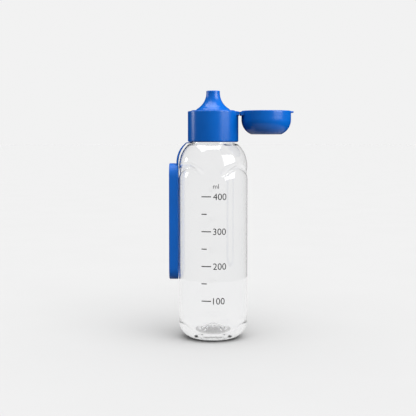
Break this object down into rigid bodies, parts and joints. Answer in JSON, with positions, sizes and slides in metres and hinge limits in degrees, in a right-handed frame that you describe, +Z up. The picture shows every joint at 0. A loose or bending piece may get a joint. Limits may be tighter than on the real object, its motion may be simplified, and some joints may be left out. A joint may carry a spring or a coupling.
{
  "type": "sports water bottle",
  "caption": "Clear cylindrical bottle with a domed shoulder, a screw cap with a drinking spout under a flip-open cover, and a silicone hand strap hung from the neck.",
  "frame": {"origin": "bottom centre of the whole object's box, on the surface that it stands on; the bottle's own axis is at x = -0.0173 m, y = 0, because the open cover reaches further out than the hand strap", "axes": "+Z up along the bottle's axis, +X towards the open flip cover, the hand strap on the -X side"},
  "size_m": [0.1174, 0.065, 0.2343],
  "materials": {
    "clear_shell": "clear, polished",
    "blue_plastic": "semi-gloss moulded",
    "blue_silicone": "satin silicone",
    "clear_silicone": "satin, translucent white"
  },
  "bodies": {
    "bottle": {"bottle_body": "clear_shell"},
    "gasket": {"cap_gasket": "clear_silicone"},
    "cap": {"screw_cap": "blue_plastic", "spout": "blue_plastic", "spout_valve": "clear_silicone", "valve_retainer": "blue_plastic", "hinge_strip_cap_half": "blue_plastic"},
    "cover": {"flip_cover": "blue_plastic", "cover_plug": "clear_silicone", "hinge_strip_cover_half": "blue_plastic"},
    "strap_ring": {"strap_neck_ring": "blue_silicone"},
    "tether": {"strap_tether": "blue_silicone"},
    "hand_loop": {"strap_hand_loop": "blue_silicone"}
  },
  "joints": [
    {"name": "cap_lift", "type": "slide", "parent": "bottle", "child": "gasket", "axis": [0, 0, 1], "range_m": [0, 0.00501]},
    {"name": "cap_turn", "type": "hinge", "parent": "gasket", "child": "cap", "pos_m": [-0.0173, 0, 0.2], "axis": [0, 0, 1], "range_deg": [0, 450]},
    {"name": "cover_flip", "type": "hinge", "parent": "cap", "child": "cover", "pos_m": [0.0078, 0, 0.2153], "axis": [0, -1, 0], "range_deg": [0, 180]},
    {"name": "strap_swivel", "type": "hinge", "parent": "bottle", "child": "strap_ring", "pos_m": [-0.0173, 0, 0.1857], "axis": [0, 0, 1], "continuous": true},
    {"name": "tether_bend", "type": "hinge", "parent": "strap_ring", "child": "tether", "pos_m": [-0.04225, 0, 0.1857], "axis": [0, 1, 0], "range_deg": [0, 60]},
    {"name": "loop_bend", "type": "hinge", "parent": "tether", "child": "hand_loop", "pos_m": [-0.0519, 0, 0.16605], "axis": [0, 1, 0], "range_deg": [0, 30]}
  ],
  "couplings": [
    {"joint": "cap_lift", "follows": "cap_turn", "m_per_rad": 0.00063662}
  ]
}
